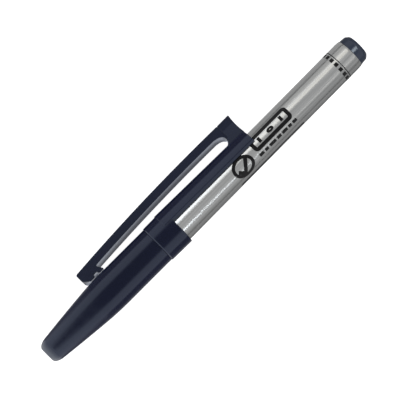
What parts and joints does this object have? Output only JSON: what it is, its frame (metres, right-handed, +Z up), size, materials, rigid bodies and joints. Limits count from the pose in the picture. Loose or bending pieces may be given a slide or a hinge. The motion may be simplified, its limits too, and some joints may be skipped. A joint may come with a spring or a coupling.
{
  "type": "counterfeit detector pen",
  "caption": "Capped pen with an aluminium barrel and a fibre nib that marks banknotes; its plastic cap carries a pocket clip on a half-round spine over the barrel.",
  "frame": {"origin": "centre of the pen's footprint, on the surface it lies on", "axes": "+X runs along the pen from the end of the cap to the end plug, 0.95 degrees nose up; +Y points to the side the clip is on; +Z up. The pen lies on its cap's mouth ring, the end of the spine and the edge of its clip."},
  "size_m": [0.14, 0.0202, 0.0139],
  "materials": {
    "navy_plastic": "moulded, glossy, navy-black",
    "slate_plastic": "moulded, satin gloss, slate",
    "brushed_aluminium": "brushed along the barrel",
    "natural_plastic": "moulded, satin, off-white",
    "nib_fibre": "bonded fibre, amber from the solution",
    "wick_fibre": "spun fibre soaked in iodine solution",
    "clear_film": "thin clear film",
    "seal_plastic": "soft polyethylene"
  },
  "bodies": {
    "barrel": {"barrel_tube": "brushed_aluminium", "end_plug": "slate_plastic", "front_section": "natural_plastic", "nib": "nib_fibre", "ink_reservoir": "wick_fibre", "reservoir_film": "clear_film"},
    "cap": {"cap_shell": "navy_plastic", "clip_collar": "navy_plastic", "inner_cap": "seal_plastic"},
    "clip": {"clip_arm": "navy_plastic"}
  },
  "joints": [
    {"name": "cap_pull_off", "type": "slide", "parent": "barrel", "child": "cap", "axis": [-0.9999, 0, 0.0166], "range_m": [0, 0.078]},
    {"name": "clip_flex", "type": "hinge", "parent": "cap", "child": "clip", "pos_m": [0.01952, 0.00916, 0.00256], "axis": [-0.0158, -0.3024, -0.9531], "range_deg": [0, 3.5], "stiffness_Nm_per_rad": 1.5}
  ]
}
